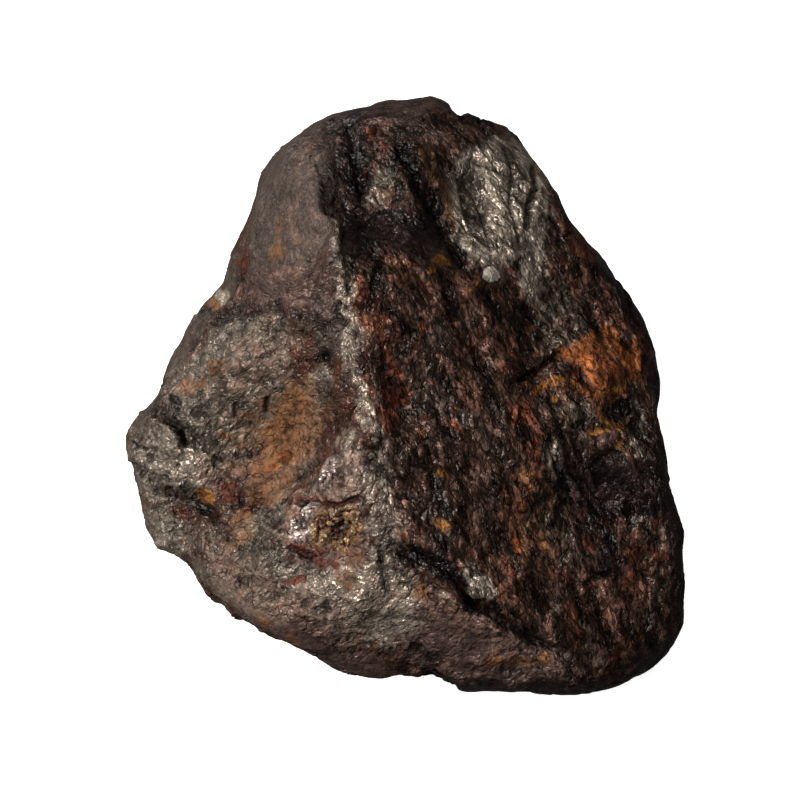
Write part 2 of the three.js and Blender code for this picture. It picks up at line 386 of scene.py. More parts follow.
CRACKS = {
    "foil crack": groove(((533, 167), (537, 187), (530, 203), (528, 226)), 2.5, 0.7),
    "foil crack 2": groove(((462, 178), (478, 205), (490, 238)), 2, 0.3),
    "foil crack 3": groove(((503, 148), (515, 175), (511, 205), (520, 240)), 2, 0.3),
    "foil crack 4": groove(((470, 160), (500, 172), (528, 178)), 2, 0.25),
    "foil edge": ledge(((520, 250), (490, 248), (468, 232), (458, 190)), 0.5, 3, 16),
    "rim notch 1": groove(((452, 100), (462, 116)), 3, 0.7),
    "rim notch 2": groove(((480, 116), (492, 132)), 3, 0.8),
    "hollow edge": ledge(((342, 255), (340, 222), (325, 214), (321, 195)), 0.9, 3, 26),
    "hollow band": groove(((405, 155), (425, 195), (460, 257)), 8, 0.8),
    "hollow streak": groove(((350, 125), (352, 155), (362, 190)), 4, 0.5),
    "hollow lip": ledge(((408, 230), (396, 219), (383, 207)), 0.35, 2, 9),
    "crust edge": ledge(((562, 352), (578, 368), (588, 380), (604, 392), (622, 399)), 0.5, 2, 12),
    "crust crack": groove(((520, 380), (541, 366), (562, 350)), 2.5, 0.8),
    "shelf edge": ledge(((529, 388), (553, 386), (584, 394)), 0.4, 2, 9),
    "plate edge": ledge(((629, 426), (604, 431), (587, 433), (560, 425), (552, 402)), 0.5, 2, 12),
    "plate crack": groove(((549, 399), (556, 418), (562, 440)), 3, 0.6),
    "recess": bump(613, 413, 9, 9, 0, -0.5),
    "slanted flake 1": ledge(((578, 488), (566, 465), (560, 442)), 0.5, 2, 9),
    "slanted flake 2": ledge(((566, 492), (556, 468), (550, 445)), 0.4, 2, 9),
    "black plate": ledge(((624, 490), (596, 484), (590, 465), (602, 455)), 0.4, 2, 14),
    "lower crack": groove(((583, 584), (597, 575), (612, 572)), 2.5, 0.6),
    "lobe plate": ledge(
        ((201, 453), (183, 446), (181, 437), (177, 430), (171, 424), (162, 421)), 0.9, 2, 18),
    "lobe shadow": groove(((166, 420), (173, 424), (180, 432), (184, 446)), 3, 0.8),
    "lobe crack 1": groove(((172, 396), (181, 402), (179, 408), (175, 417)), 2, 0.7),
    "lobe crack 2": groove(((190, 432), (201, 445)), 2, 0.5),
    "lobe hole 1": bump(133, 447, 3, 5, 0, -0.9),
    "lobe hole 2": bump(149, 459, 4, 5, 0, -1.0),
    "lobe seam": groove(((137, 448), (155, 451)), 2, 0.4),
    "lobe gash": groove(((136, 467), (153, 476)), 3.5, 0.7),
    "lobe lip": ledge(((134, 463), (153, 472)), 0.4, 2, 10),
    "lobe ledge": ledge(((209, 520), (203, 513), (184, 505), (172, 498), (160, 496)), 0.6, 2, 16),
    "ledge shadow": groove(((166, 492), (174, 496), (184, 503), (203, 511)), 3, 0.8),
    "flank crack 1": groove(((236, 404), (237, 416)), 2, 0.5),
    "flank crack 2": groove(((239, 486), (240, 501)), 2, 0.5),
    "flank crack 3": groove(((266, 398), (264, 411)), 2, 0.5),
    "flank pit": bump(323, 359, 7, 4, 20, -0.8),
    "pit top edge": groove(((300, 504), (320, 505), (340, 505), (354, 499)), 3, 0.6),
    "pit left edge": groove(((303, 507), (301, 518), (304, 525)), 2.5, 0.6),
    "pit bottom edge": groove(((288, 546), (300, 553), (314, 554)), 3, 0.5),
    "pit gap": bump(340, 528, 5, 4, -20, -0.6),
    "bulge crack": groove(((380, 552), (383, 572), (387, 592)), 2, 0.5),
    "lower groove": groove(((400, 550), (450, 572), (475, 605)), 8, 0.9),
    "crease": groove(((412, 646), (438, 661)), 3, 0.5),
    "bottom notch": groove(((428, 676), (452, 690)), 6, 0.8),
    "ridge groove": groove(((475, 603), (510, 627), (556, 651)), 4, 0.7),
    "ridge edge": ledge(((556, 656), (510, 633), (475, 609), (450, 594)), 0.5, 2, 14),
}


# Node trees

# The Mix node's sockets for each kind of value: its two inputs and its output
MIX_SOCKETS = {"FLOAT": (2, 3, 0), "VECTOR": (4, 5, 1), "RGBA": (6, 7, 2)}
# Plain noise, and how steeply crinkled noise rises from its creases
NOISE_DETAIL = 2.0
NOISE_ROUGHNESS = 0.5
CRINKLE_RISE = 3.0


def add_node(tree, kind, inputs=None, **settings):
    """One node, with its settings made and its inputs set, or linked where a socket is given."""
    node = tree.nodes.new(kind)
    for name, value in settings.items():
        setattr(node, name, value)
    for key, value in (inputs or {}).items():
        if isinstance(value, bpy.types.NodeSocket):
            tree.links.new(value, node.inputs[key])
        else:
            node.inputs[key].default_value = value
    return node


def number(tree, operation, first, second=0.0, third=0.0):
    """A sum on numbers, such as MULTIPLY."""
    return add_node(tree, "ShaderNodeMath", {0: first, 1: second, 2: third}, operation=operation).outputs[0]


def product(tree, first, *others):
    """Several numbers multiplied."""
    for other in others:
        first = number(tree, "MULTIPLY", first, other)
    return first


def vector(tree, operation, first, second):
    """A sum on vectors, such as SUBTRACT."""
    node = add_node(tree, "ShaderNodeVectorMath", {0: first, 1: second}, operation=operation)
    return node.outputs["Value" if operation == "DOT_PRODUCT" else "Vector"]


def scaled(tree, first, by):
    """A vector made longer or shorter."""
    node = add_node(tree, "ShaderNodeVectorMath", {0: first, "Scale": by}, operation="SCALE")
    return node.outputs["Vector"]


def both_ways(tree, value):
    """A number from 0 to 1 brought to -1 to 1."""
    return number(tree, "MULTIPLY_ADD", value, 2.0, -1.0)


def eased(tree, value, low, high, start=0.0, end=1.0):
    """A number brought from low..high to start..end, with an eased slope."""
    inputs = {"Value": value, "From Min": low, "From Max": high, "To Min": start, "To Max": end}
    return add_node(tree, "ShaderNodeMapRange", inputs, interpolation_type="SMOOTHSTEP").outputs[0]


def cloud(tree, place, scale, detail=NOISE_DETAIL, roughness=NOISE_ROUGHNESS):
    """Soft noise from 0 to 1."""
    inputs = {"Vector": place, "Scale": scale, "Detail": detail, "Roughness": roughness}
    return add_node(tree, "ShaderNodeTexNoise", inputs).outputs[0]


def crinkle(tree, place, scale, detail=NOISE_DETAIL):
    """Noise with sharp creases and rounded tops, from 0 at a crease to about 1."""
    folded = number(tree, "ABSOLUTE", both_ways(tree, cloud(tree, place, scale, detail)))
    return number(tree, "MULTIPLY", folded, CRINKLE_RISE)


def facets(tree, place, scale, tilt=1.0):
    """Small flat plates, each tilted its own way: height, a chance number, and how far the middle is."""
    plates = add_node(tree, "ShaderNodeTexVoronoi", {"Vector": place, "Scale": scale})
    middle = plates.outputs["Position"]
    lean = vector(tree, "SUBTRACT", plates.outputs["Color"], (MIDDLE, MIDDLE, MIDDLE))
    reach = vector(tree, "SUBTRACT", place, middle)
    height = number(tree, "MULTIPLY", vector(tree, "DOT_PRODUCT", reach, lean), tilt)
    chance = add_node(tree, "ShaderNodeTexWhiteNoise", {"Vector": middle}).outputs["Value"]
    return height, chance, plates.outputs["Distance"]


def warped(tree, place, scale, reach):
    """Places pushed about by noise, so that a pattern on them is irregular."""
    push = add_node(tree, "ShaderNodeTexNoise", {"Vector": place, "Scale": scale, "Detail": NOISE_DETAIL})
    way = vector(tree, "SUBTRACT", push.outputs["Color"], (MIDDLE, MIDDLE, MIDDLE))
    return vector(tree, "ADD", place, scaled(tree, way, reach))


def along_grain(tree, place, grain, stretch):
    """Places squeezed along a direction, so that a pattern on them is longer that way."""
    reach = vector(tree, "DOT_PRODUCT", place, grain)
    lost = number(tree, "SUBTRACT", 1.0, number(tree, "DIVIDE", 1.0, stretch))
    return vector(tree, "SUBTRACT", place, scaled(tree, tuple(grain), number(tree, "MULTIPLY", reach, lost)))


def mix(tree, kind, share, first, second, **settings):
    """A value of a kind that goes from first to second as share goes from 0 to 1."""
    low, high, out = MIX_SOCKETS[kind]
    inputs = {0: share, low: first, high: second}
    return add_node(tree, "ShaderNodeMix", inputs, data_type=kind, **settings).outputs[out]


def mixed(tree, share, first, second):
    """A number that goes from first to second as share goes from 0 to 1."""
    return mix(tree, "FLOAT", share, first, second)


def tinted(tree, share, first, second, way="MIX"):
    """A colour that goes from first to second as share goes from 0 to 1."""
    return mix(tree, "RGBA", share, first, second, blend_type=way)


def grain_place(tree, place, side, stretch):
    """Places squeezed along the grain of the side of the ridge that they are on."""
    left = along_grain(tree, place, LEFT_GRAIN, stretch[0])
    right = along_grain(tree, place, RIGHT_GRAIN, stretch[1])
    return mix(tree, "VECTOR", number(tree, "GREATER_THAN", side, MIDDLE), left, right)


# Settings that a user would change


def colour(name, description, default):
    """A colour property."""
    return bpy.props.FloatVectorProperty(
        name=name, description=description, default=default, size=3, min=0.0, max=1.0, subtype="COLOR"
    )


def length(name, description, default_mm):
    """A size property, in metres, from a default in mm."""
    return bpy.props.FloatProperty(
        name=name, description=description, default=default_mm * MM, min=0.0, precision=5,
        subtype="DISTANCE", unit="LENGTH",
    )


def figure(name, description, default, least=0.0):
    """A property that is a plain number."""
    return bpy.props.FloatProperty(name=name, description=description, default=default, min=least)


class MeteoriteRelief(bpy.types.PropertyGroup):
    """Sizes of the skin's relief."""

    lump_height: length("Lump height", "How far the broad lumps stand out", 0.5)
    lump_width: length("Lump width", "From one broad lump to the next", 6.0)
    flake_width: length("Flake width", "From one flake to the next, across the grain", 2.4)
    flake_tilt: figure("Flake tilt", "How steeply the flakes lean", 0.33)
    flake_stretch: figure("Flake stretch", "A flake's length for its width, right of the ridge", 2.3, 1.0)
    crumb_width: length("Crumb width", "From one crumb to the next", 1.1)
    crumb_tilt: figure("Crumb tilt", "How steeply the crumbs lean", 0.22)
    squiggle_height: length("Squiggle height", "How far the folds in the crystal pit stand out", 0.6)
    squiggle_width: length("Squiggle width", "From one fold in the crystal pit to the next", 1.4)


class MeteoriteColours(bpy.types.PropertyGroup):
    """Colours of the stone's coats."""

    brown: colour("Brown skin", "The oxidised skin", (0.066, 0.031, 0.020))
    grey: colour("Grey skin", "Greyer parts of the skin", (0.064, 0.040, 0.030))
    russet: colour("Russet skin", "Redder parts of the skin", (0.086, 0.026, 0.013))
    # Partly the worn shoulder's own grey-brown, partly a painted sheen on the shoulder and its top rim
    veil: colour("Shoulder", "The worn grey-brown shoulder", (0.077, 0.054, 0.042))
    purple: colour("Bottom face", "The purple-brown face below", (0.100, 0.058, 0.047))
    olive: colour("Flank", "The grey-green flank", (0.165, 0.132, 0.100))
    rust: colour("Rust", "Matte rust", (0.195, 0.084, 0.034))
    crust: colour("Rust crust", "Orange crust of rust", (0.240, 0.070, 0.017))
    red: colour("Red rust", "Dark red rust in hollows", (0.115, 0.030, 0.015))
    ochre: colour("Ochre", "Yellow-orange rust", (0.280, 0.110, 0.022))
    metal: colour("Bare metal", "Bare nickel-iron", (0.405, 0.325, 0.252))
    bronze: colour("Bronze", "Gold-brown folds in the crystal pit", (0.30, 0.18, 0.09))
    silver: colour("Silver", "Silver-pink folds in the pit", (0.52, 0.40, 0.34))
    pink: colour("Pink-brown", "Pink-brown tints on the metal", (0.195, 0.112, 0.080))
    # Partly pale metal, partly a painted highlight on the nodule and the pit's lump
    bright: colour("Bright nodule", "The bright nodule and the pit's lump", (0.84, 0.72, 0.60))
    maroon: colour("Maroon", "Dark red creases in the pit", (0.050, 0.014, 0.010))
    # Black crust, which the coat also lays as painted shade in hollows, grooves and along the rims
    black: colour("Black", "Glossy black crust", (0.018, 0.009, 0.008))


class MeteoriteStage(bpy.types.PropertyGroup):
    """The camera, lights and floor."""

    lens: figure("Lens", "Focal length in mm", 150.0, 1.0)
    distance: length("Camera distance", "From the camera to the middle of the stone", 376.3)
    elevation: bpy.props.FloatProperty(
        name="Camera elevation", description="How far the camera looks down",
        default=math.radians(40.0), subtype="ANGLE", unit="ROTATION",
    )
    key_power: figure("Key light", "Softbox on the left, in W", 17.0)
    top_power: figure("Top light", "Softbox above, in W", 2.4)
    rim_power: figure("Rim light", "Softbox behind, in W", 4.0)
    floor: colour("Floor", "Colour of the floor", (0.93, 0.93, 0.93))


# The camera's place, and the stone's points as it sees them


def camera_axes():
    """The camera's way right, up and back."""
    elevation = bpy.context.scene.meteorite_stage.elevation
    right = Vector((1.0, 0.0, 0.0))
    up = Vector((0.0, math.sin(elevation), math.cos(elevation)))
    back = Vector((0.0, -math.cos(elevation), math.sin(elevation)))
    return right, up, back


def picture_places(points):
    """Where points fall in the picture, in pixels from its upper left corner."""
    stage = bpy.context.scene.meteorite_stage
    right, up, back = (np.array(axis) for axis in camera_axes())
    away = points - (np.array(AIM) + back * stage.distance)
    pixels = stage.lens / SENSOR_MM * PICTURE / -(away @ back)
    return PICTURE / 2 + away @ right * pixels, PICTURE / 2 - away @ up * pixels


# The skin


def welded_copy(node):
    """A plain object with the node's mesh, its loose triangles joined."""
    mesh = node.data.copy()
    mesh.materials.clear()
    work = bmesh.new()
    work.from_mesh(mesh)
    bmesh.ops.remove_doubles(work, verts=work.verts, dist=WELD)
    for face in work.faces:
        face.smooth = True
    work.to_mesh(mesh)
    work.free()
    copy = bpy.data.objects.new(SKIN, mesh)
    bpy.context.scene.collection.objects.link(copy)
    return copy


def make_plain(piece):
    """Turns what the piece's modifiers make into its own mesh, and removes them."""
    graph = bpy.context.evaluated_depsgraph_get()
    made = bpy.data.meshes.new_from_object(piece.evaluated_get(graph))
    piece.modifiers.clear()
    piece.data = made


def wandering(points, size_mm, seed):
    """Smooth chance vectors at points, about size_mm from one to the next."""
    shift = SEED_SHIFT * seed
    scale = 1.0 / (size_mm * MM)
    return np.array([noise.noise_vector(Vector(point) * scale + shift) for point in points])


def store(mesh, name, values):
    """Keeps a number for each vertex on the mesh."""
    mesh.attributes.new(name, "FLOAT", "POINT").data.foreach_set("value", values.astype(np.float32))


def look_at(mesh):
    """A mesh's points, how far each faces the camera, its place in the picture, and that made ragged."""
    count = len(mesh.vertices)
    points = np.empty(count * 3)
    mesh.vertices.foreach_get("co", points)
    points = points.reshape(count, 3)
    normals = np.empty(count * 3)
    mesh.vertex_normals.foreach_get("vector", normals)
    normals = normals.reshape(count, 3)
    to_camera = np.array(AIM + camera_axes()[2] * bpy.context.scene.meteorite_stage.distance) - points
    to_camera /= np.linalg.norm(to_camera, axis=1, keepdims=True)
    seen = smooth_step(FACING_FROM, FACING_FULL, (normals * to_camera).sum(axis=1))
    flat = np.array(picture_places(points))
    ragged = flat.copy()
    for place, (size_mm, reach) in enumerate(WANDERS):
        ragged += wandering(points, size_mm, WANDER_SEED * (place + 1))[:, :2].T * reach
    return points, seen, flat, ragged


def highest(patches, places):
    """The most that any of the patches covers each place."""
    return np.max([cover(*places) for cover in patches.values()], axis=0)


def carved_depth(carving, flat, ragged):
    """How far the carving raises each place, in metres."""
    places = flat + (ragged - flat) * CARVING_WANDER
    return np.sum([height(*places) for height in carving.values()], axis=0) * MM


def split_faces(mesh, chosen):
    """Parts each chosen face into four."""
    work = bmesh.new()
    work.from_mesh(mesh)
    edges = [edge for edge in work.edges if any(chosen[face.index] for face in edge.link_faces)]
    bmesh.ops.subdivide_edges(work, edges=edges, cuts=1, use_grid_fill=True)
    work.to_mesh(mesh)
    work.free()


def span(mesh, values):
    """How much the values differ over each face's corners, and the highest of them."""
    corners = np.empty(len(mesh.loops), dtype=np.int32)
    mesh.loops.foreach_get("vertex_index", corners)
    starts = np.empty(len(mesh.polygons), dtype=np.int32)
    mesh.polygons.foreach_get("loop_start", starts)
    most = np.maximum.reduceat(values[corners], starts)
    return most - np.minimum.reduceat(values[corners], starts), most


def refine(mesh):
    """Splits the side that the picture shows, and again what is steeply carved or folded there."""
    seen = look_at(mesh)[1]
    split_faces(mesh, span(mesh, seen)[1] > 0.0)
    _, seen, flat, ragged = look_at(mesh)
    steep = span(mesh, carved_depth(CRACKS, flat, ragged) * seen)[0] > STEEP
    pit = np.maximum(highest(COATS["bronze"], ragged), highest(COATS["silver"], ragged)) * seen
    split_faces(mesh, steep | (span(mesh, pit)[1] > PIT_SHARE))
    mesh.calc_loop_triangles()
    if len(mesh.loop_triangles) > MOST_TRIANGLES:
        raise RuntimeError("the stone's skin has too many triangles")


def paint(mesh):
    """Puts the picture's coats, grain and carving on the vertices, and chance patches where it can't see."""
    points, seen, flat, ragged = look_at(mesh)
    for place, (name, patches) in enumerate(COATS.items()):
        chance = wandering(points, CHANCE_PATCH_MM, CHANCE_SEED + CHANCE_SEED_STEP * place)[:, 2]
        hidden = smooth_step(*CHANCE_PATCHES[name], chance) if name in CHANCE_PATCHES else 0.0
        store(mesh, name, seen * highest(patches, ragged) + (1.0 - seen) * hidden)
    store(mesh, "smooth", seen * highest(SMOOTH, ragged))
    gap, side = line_distance(RIDGE, *ragged)
    store(mesh, "right_grain", smooth_step(-GRAIN_TURN, GRAIN_TURN, gap * side))
    store(mesh, "forms", seen * carved_depth(FORMS, flat, ragged))
    store(mesh, "cracks", seen * carved_depth(CRACKS, flat, ragged))


# The skin's relief

# How fine the folds in the pit are, and how high above its creases a fold is full
SQUIGGLE_DETAIL = 1.0
SQUIGGLE_TOP = 0.55
# A flake's length for its width, left of the ridge, and how far it is pushed about, for its width
LEFT_STRETCH = 1.4
FLAKE_WANDER = 0.9
# How much of the flakes' and the crumbs' height is lost where the skin is worn smooth
WORN_FLAKES = -0.8
# What the material reads from the skin besides its coats
RELIEF_NUMBER = "relief"
CREVICE_NUMBER = "crevice"


def attribute(tree, name):
    """A vertex number, in a tree of shape nodes."""
    return add_node(tree, "GeometryNodeInputNamedAttribute", {"Name": name}, data_type="FLOAT").outputs[0]


def kept_number(tree, geometry, name, value):
    """The geometry, with a number for each vertex kept on it."""
    inputs = {"Geometry": geometry, "Name": name, "Value": value}
    node = add_node(tree, "GeometryNodeStoreNamedAttribute", inputs, data_type="FLOAT", domain="POINT")
    return node.outputs[0]


def relief_tree():
    """A tree of shape nodes that raises the skin's lumps, flakes and crumbs, and sinks its cracks."""
    tree = bpy.data.node_groups.new("stone_relief", "GeometryNodeTree")
    made = tree.interface
    made.new_socket("Geometry", in_out="OUTPUT", socket_type="NodeSocketGeometry")
    made.new_socket("Geometry", in_out="INPUT", socket_type="NodeSocketGeometry")
    for prop in ("lump_height", "lump_width", "flake_tilt", "flake_width", "flake_stretch",
                 "crumb_tilt", "crumb_width", "squiggle_height", "squiggle_width"):
        made.new_socket(prop, in_out="INPUT", socket_type="NodeSocketFloat")
    made.new_socket("finish", in_out="INPUT", socket_type="NodeSocketMaterial")
    given = tree.nodes.new("NodeGroupInput").outputs

    place = tree.nodes.new("GeometryNodeInputPosition").outputs[0]
    rough = number(tree, "MULTIPLY_ADD", attribute(tree, "smooth"), WORN_FLAKES, 1.0)

    lump_scale = number(tree, "DIVIDE", 1.0, given["lump_width"])
    lumps = number(tree, "MULTIPLY", both_ways(tree, cloud(tree, place, lump_scale)), given["lump_height"])

    flake_scale = number(tree, "DIVIDE", 1.0, given["flake_width"])
    loose = warped(tree, place, flake_scale, number(tree, "MULTIPLY", given["flake_width"], FLAKE_WANDER))
    along = grain_place(tree, loose, attribute(tree, "right_grain"), (LEFT_STRETCH, given["flake_stretch"]))
    crumb_scale = number(tree, "DIVIDE", 1.0, given["crumb_width"])
    flakes = facets(tree, along, flake_scale, given["flake_tilt"])[0]
    crumbs = facets(tree, along, crumb_scale, given["crumb_tilt"])[0]

    squiggle_scale = number(tree, "DIVIDE", 1.0, given["squiggle_width"])
    folded = eased(tree, crinkle(tree, place, squiggle_scale, SQUIGGLE_DETAIL), 0.0, SQUIGGLE_TOP)
    pit = number(tree, "MAXIMUM", attribute(tree, "bronze"), attribute(tree, "silver"))
    squiggles = product(tree, number(tree, "SUBTRACT", folded, MIDDLE), given["squiggle_height"], pit)
    crevice = product(tree, number(tree, "SUBTRACT", 1.0, folded), pit)

    fine = product(tree, number(tree, "ADD", flakes, crumbs), rough)
    fine = number(tree, "ADD", fine, attribute(tree, "cracks"))
    broad = number(tree, "ADD", lumps, attribute(tree, "forms"))
    height = number(tree, "ADD", number(tree, "ADD", fine, squiggles), broad)

    # The fine relief in mm, which the material darkens as painted shade where it sinks
    noted = kept_number(tree, given["Geometry"], RELIEF_NUMBER, number(tree, "DIVIDE", fine, MM))
    noted = kept_number(tree, noted, CREVICE_NUMBER, crevice)
    normal = tree.nodes.new("GeometryNodeInputNormal").outputs[0]
    raised = add_node(tree, "GeometryNodeSetPosition", {
        "Geometry": noted, "Offset": scaled(tree, normal, height)})

    apart = add_node(tree, "ShaderNodeSeparateXYZ", {0: place}).outputs
    over = add_node(tree, "ShaderNodeCombineXYZ", {
        "X": apart["X"], "Y": apart["Y"], "Z": number(tree, "MAXIMUM", apart["Z"], 0.0)})
    rested = add_node(tree, "GeometryNodeSetPosition", {
        "Geometry": raised.outputs[0], "Position": over.outputs[0]})

    whole = add_node(tree, "GeometryNodeRealizeInstances", {0: rested.outputs[0]})
    dressed = add_node(tree, "GeometryNodeSetMaterial", {0: whole.outputs[0], "Material": given["finish"]})
    add_node(tree, "NodeGroupOutput", {0: dressed.outputs[0]})
    return tree


def run_tree(piece, tree, settings, material):
    """Runs a tree of shape nodes on a piece, with the user's sizes, and keeps its result as a plain mesh."""
    modifier = piece.modifiers.new(tree.name, "NODES")
    modifier.node_group = tree
    for socket in tree.interface.items_tree:
        if socket.in_out == "INPUT" and socket.socket_type == "NodeSocketFloat":
            modifier[socket.identifier] = getattr(settings, socket.name)
        if socket.socket_type == "NodeSocketMaterial":
            modifier[socket.identifier] = material
    make_plain(piece)


# The stone's finish

# How a coat looks: how rough and metallic it is, how ragged its edge is, how far it evens out the skin's
# pattern, and how soft its edge is
Coat = namedtuple("Coat", "roughness metallic ragged even soft")
COAT_FINISH = {
    "veil": Coat(0.46, 0.10, 0.5, 0.2, 0.45),
    "purple": Coat(0.34, 0.15, 0.8, 0.1, 0.45),
    "olive": Coat(0.34, 0.30, 0.9, 0.1, 0.45),
    "metal": Coat(0.33, 0.50, 0.8, 0.6, 0.40),
    "pink": Coat(0.45, 0.05, 1.0, 0.2, 0.50),
    "rust": Coat(0.72, 0.0, 0.8, 0.3, 0.60),
    "crust": Coat(0.60, 0.0, 1.0, 0.35, 0.22),
    "red": Coat(0.55, 0.0, 1.0, 0.2, 0.30),
    "ochre": Coat(0.60, 0.0, 1.0, 0.4, 0.25),
    "bronze": Coat(0.32, 0.40, 0.8, 0.4, 0.45),
    "silver": Coat(0.26, 0.60, 0.4, 0.7, 0.25),
    "black": Coat(0.30, 0.0, 0.9, 0.0, 0.40),
    "bright": Coat(0.25, 0.30, 0.5, 0.85, 0.25),
}
# How much paint makes a coat's edge, how far noise moves that edge, and how much paint the noise needs
COAT_EDGE = 0.55
EDGE_REACH = 3.0
PAINT_FULL = 0.3
SKIN_ROUGHNESS = 0.30
SKIN_METALLIC = 0.10
SKIN_SPECULAR = 0.30
WARM_GLINT = (1.0, 0.93, 0.85)
WHITE = (1.0, 1.0, 1.0, 1.0)

# Clouds on the stone: how many to a mm, their detail and how rough they are
EDGE_CLOUDS = (0.7, 4.0, 0.7)
GREY_CLOUDS = (0.19, 4.0, 0.6)
RED_CLOUDS = (0.30, 4.0, 0.7)
CRACK_CLOUDS = (1.0, 2.0, 0.6)
POOL_CLOUDS = (0.5, 3.0, 0.65)

# The fine pattern of the skin: how many of each there are to a mm
CHIPS = 1.6
PLATES = 0.45
CRACK_LINES = 0.9
FOLDS = 0.8
PITS = 1.7
# How long chips and plates are for their width, left and right of the ridge, and the noise that moves them
CHIP_STRETCH = (1.25, 1.5)
PLATE_STRETCH = (1.35, 2.0)
GRAIN_WARP = 1.2
GRAIN_WANDER = 0.4
# How high they are in mm, left and right of the ridge, and how much of that is lost where the skin is worn
CHIP_HEIGHT = (0.45, 0.80)
PLATE_HEIGHT = (0.22, 0.34)
FOLD_HEIGHT = (0.22, 0.20)
CRACK_DEPTH = 0.14
WORN_AWAY = -0.75

# Where each starts and where it is full: in its noise or chance number, in its paint, or in mm of relief
GREY_RANGE = (0.42, 0.62)
RED_RANGE = (0.48, 0.66)
CALM_RANGE = (0.3, 0.5)
PIT_HOLE = (0.12, 0.3)
PIT_CHANCE = (0.5, 0.62)
CRACK_RANGE = (0.46, 0.60)
CRACK_WIDTH = 0.055
CREVICE_RANGE = (0.2, 0.7)
POOL_RANGE = (0.36, 0.56)
FOLD_RANGE = (0.0, 0.4)
HOLLOW_RANGE = (-0.3, 0.02)

# How dark and how light the pattern is, on the left and on the right of the ridge; fold creases are painted
# shade
CHIP_TONE = ((0.80, 1.25), (0.55, 1.75))
PLATE_TONE = ((0.80, 1.25), (0.50, 1.80))
FOLD_CREASE_SHADE = (0.60, 0.42)
CRACK_TONE = (0.30, 0.15)
POOL_TONE = (1.0, 0.30)
# How light its tops are, how dark and light worn skin is, how dark small specks and sunken relief are, and
# how a chip's gloss varies
# The folds' light tops, a painted highlight
FOLD_TOP_HIGHLIGHT = 1.1
POOL_LIGHT = 1.2
WORN_TONE = (0.76, 1.20)
PIT_TONE = 0.38
# Painted shade: how dark the colour gets where the fine relief sinks
SUNKEN_RELIEF_SHADE = 0.30
CHIP_GLOSS = -0.16


def solid(shade):
    """A colour property's value as a socket takes it."""
    return (*shade, 1.0)


def painted_share(tree, name):
    """A coat's vertex number, in a material."""
    return add_node(tree, "ShaderNodeAttribute", attribute_name=name).outputs["Fac"]


def two_sided(tree, side, chance, tones):
    """A tone for each plate, within the range of the side of the ridge that it is on."""
    left, right = (eased(tree, chance, 0.0, 1.0, *tone) for tone in tones)
    return mixed(tree, side, left, right)


def cracks_between(tree, place, scale, wide):
    """0 on the lines between plates, 1 away from them."""
    inputs = {"Vector": place, "Scale": scale}
    lines = add_node(tree, "ShaderNodeTexVoronoi", inputs, feature="DISTANCE_TO_EDGE")
    return eased(tree, lines.outputs["Distance"], 0.0, wide)


def skin_colour(tree, place, along, colours):
    """The bare skin's colour: brown, with greyer and redder clouds."""
    greyer = eased(tree, cloud(tree, place, *GREY_CLOUDS), *GREY_RANGE)
    redder = eased(tree, cloud(tree, along, *RED_CLOUDS), *RED_RANGE)
    shade = tinted(tree, greyer, solid(colours.brown), solid(colours.grey))
    return tinted(tree, redder, shade, solid(colours.russet))


def coated(tree, place, shade, colours):
    """The coats over the skin, each ragged at its edge: colour, roughness, metallic and evenness."""
    ragged = number(tree, "SUBTRACT", cloud(tree, place, *EDGE_CLOUDS), MIDDLE)
    finish = [SKIN_ROUGHNESS, SKIN_METALLIC, 0.0]
    for name, coat in COAT_FINISH.items():
        painted = painted_share(tree, name)
        edge = number(tree, "MULTIPLY_ADD", ragged, EDGE_REACH * coat.ragged, painted)
        share = eased(tree, edge, COAT_EDGE - coat.soft, COAT_EDGE + coat.soft)
        share = product(tree, share, eased(tree, painted, 0.0, PAINT_FULL))
        shade = tinted(tree, share, shade, solid(getattr(colours, name)))
        own = (coat.roughness, coat.metallic, coat.even)
        finish = [mixed(tree, share, under, over) for under, over in zip(finish, own)]
    return shade, *finish


